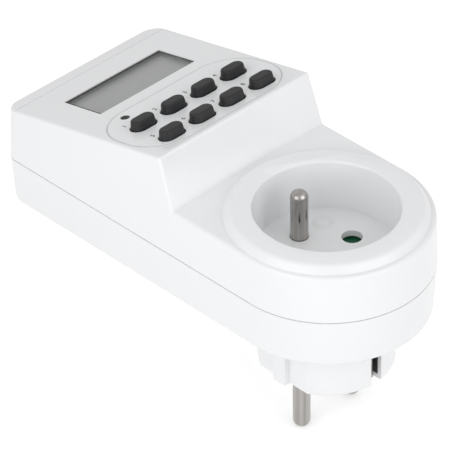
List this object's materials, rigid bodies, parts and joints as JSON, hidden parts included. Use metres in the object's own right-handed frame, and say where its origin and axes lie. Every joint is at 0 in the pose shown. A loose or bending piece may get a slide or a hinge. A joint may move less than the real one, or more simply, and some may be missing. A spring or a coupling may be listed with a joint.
{
  "type": "plug in timer switch",
  "caption": "White through-plug mains timer switch with display, keys and earthed socket; round plug boss with two pins on the back.",
  "frame": {"origin": "midway between the two plug pins on the face of the plug boss", "axes": "+Z out of the wall, +Y from the socket towards the display end, +X to the right of it"},
  "size_m": [0.057, 0.1235, 0.0812],
  "materials": {
    "backup_battery": "button cell",
    "board_ribbon": "grey flat cable",
    "bridge_rectifier": "black package",
    "bus_bar": "plain brass",
    "circuit_board": "green board",
    "contact_carrier": "plain white heat-resistant plastic",
    "contact_mat": "dark silicone mat",
    "contact_sleeve": "spring brass",
    "contact_strip": "dark elastomer strip",
    "display_frame": "black holder",
    "display_glass": "grey liquid crystal glass",
    "display_lens": "clear flat plastic window",
    "dropper_resistor": "pale ceramic body",
    "earth_bar": "plain brass",
    "earth_clip": "nickel-plated spring strip",
    "film_capacitor": "yellow case",
    "key_cap": "dark grey keys, fine matte",
    "key_panel": "satin white moulded plastic",
    "microcontroller": "black package",
    "plug_pin": "nickel-plated brass",
    "quartz_crystal": "plain metal can",
    "relay": "blue case",
    "reset_button": "dark grey, matte",
    "screw": "zinc-plated steel",
    "shutter": "green moulded plastic",
    "shutter_spring": "spring steel",
    "smoothing_capacitor": "black sleeve",
    "socket_base": "satin white moulded plastic",
    "socket_earth_pin": "nickel-plated brass",
    "surge_limiter": "blue coated disc",
    "white_cover": "satin white moulded plastic"
  },
  "bodies": {
    "housing": {"backup_battery": "backup_battery", "board_ribbon": "board_ribbon", "bridge_rectifier": "bridge_rectifier", "contact_carrier": "contact_carrier", "contact_mat": "contact_mat", "contact_strip": "contact_strip", "control_board": "circuit_board", "control_board_screws": "screw", "display_frame": "display_frame", "display_glass": "display_glass", "display_lens": "display_lens", "dropper_resistor": "dropper_resistor", "earth_bar": "earth_bar", "film_capacitor": "film_capacitor", "front_cover": "white_cover", "housing_screws": "screw", "key_panel": "key_panel", "live_output_bar": "bus_bar", "live_plug_pin": "plug_pin", "live_socket_contact": "contact_sleeve", "live_supply_bar": "bus_bar", "microcontroller": "microcontroller", "neutral_output_bar": "bus_bar", "neutral_plug_pin": "plug_pin", "neutral_socket_contact": "contact_sleeve", "neutral_supply_bar": "bus_bar", "nose_earth_clip": "earth_clip", "power_board": "circuit_board", "power_board_screws": "screw", "quartz_crystal": "quartz_crystal", "rear_cover": "white_cover", "relay": "relay", "shutter_spring": "shutter_spring", "smoothing_capacitor": "smoothing_capacitor", "socket_base": "socket_base", "socket_earth_pin": "socket_earth_pin", "surge_limiter": "surge_limiter", "tail_earth_clip": "earth_clip"},
    "key_far_1": {"key_far_1": "key_cap"},
    "key_far_2": {"key_far_2": "key_cap"},
    "key_far_3": {"key_far_3": "key_cap"},
    "key_far_4": {"key_far_4": "key_cap"},
    "key_near_1": {"key_near_1": "key_cap"},
    "key_near_2": {"key_near_2": "key_cap"},
    "key_near_3": {"key_near_3": "key_cap"},
    "key_near_4": {"key_near_4": "key_cap"},
    "reset_button": {"reset_button": "reset_button"},
    "shutter_body": {"shutter": "shutter"}
  },
  "joints": [
    {"name": "key_far_1_press", "type": "slide", "parent": "housing", "child": "key_far_1", "axis": [0, -0.2147, -0.9767], "range_m": [0, 0.0008], "stiffness_N_per_m": 600},
    {"name": "key_far_2_press", "type": "slide", "parent": "housing", "child": "key_far_2", "axis": [0, -0.2147, -0.9767], "range_m": [0, 0.0008], "stiffness_N_per_m": 600},
    {"name": "key_far_3_press", "type": "slide", "parent": "housing", "child": "key_far_3", "axis": [0, -0.2147, -0.9767], "range_m": [0, 0.0008], "stiffness_N_per_m": 600},
    {"name": "key_far_4_press", "type": "slide", "parent": "housing", "child": "key_far_4", "axis": [0, -0.2147, -0.9767], "range_m": [0, 0.0008], "stiffness_N_per_m": 600},
    {"name": "key_near_1_press", "type": "slide", "parent": "housing", "child": "key_near_1", "axis": [0, -0.2147, -0.9767], "range_m": [0, 0.0008], "stiffness_N_per_m": 600},
    {"name": "key_near_2_press", "type": "slide", "parent": "housing", "child": "key_near_2", "axis": [0, -0.2147, -0.9767], "range_m": [0, 0.0008], "stiffness_N_per_m": 600},
    {"name": "key_near_3_press", "type": "slide", "parent": "housing", "child": "key_near_3", "axis": [0, -0.2147, -0.9767], "range_m": [0, 0.0008], "stiffness_N_per_m": 600},
    {"name": "key_near_4_press", "type": "slide", "parent": "housing", "child": "key_near_4", "axis": [0, -0.2147, -0.9767], "range_m": [0, 0.0008], "stiffness_N_per_m": 600},
    {"name": "reset_button_press", "type": "slide", "parent": "housing", "child": "reset_button", "axis": [0, -0.2147, -0.9767], "range_m": [0, 0.0008], "stiffness_N_per_m": 600},
    {"name": "shutter_turn", "type": "hinge", "parent": "housing", "child": "shutter_body", "pos_m": [0, 0, 0.0298], "axis": [0, 0, 1], "range_deg": [0, 42], "stiffness_Nm_per_rad": 0.01}
  ]
}
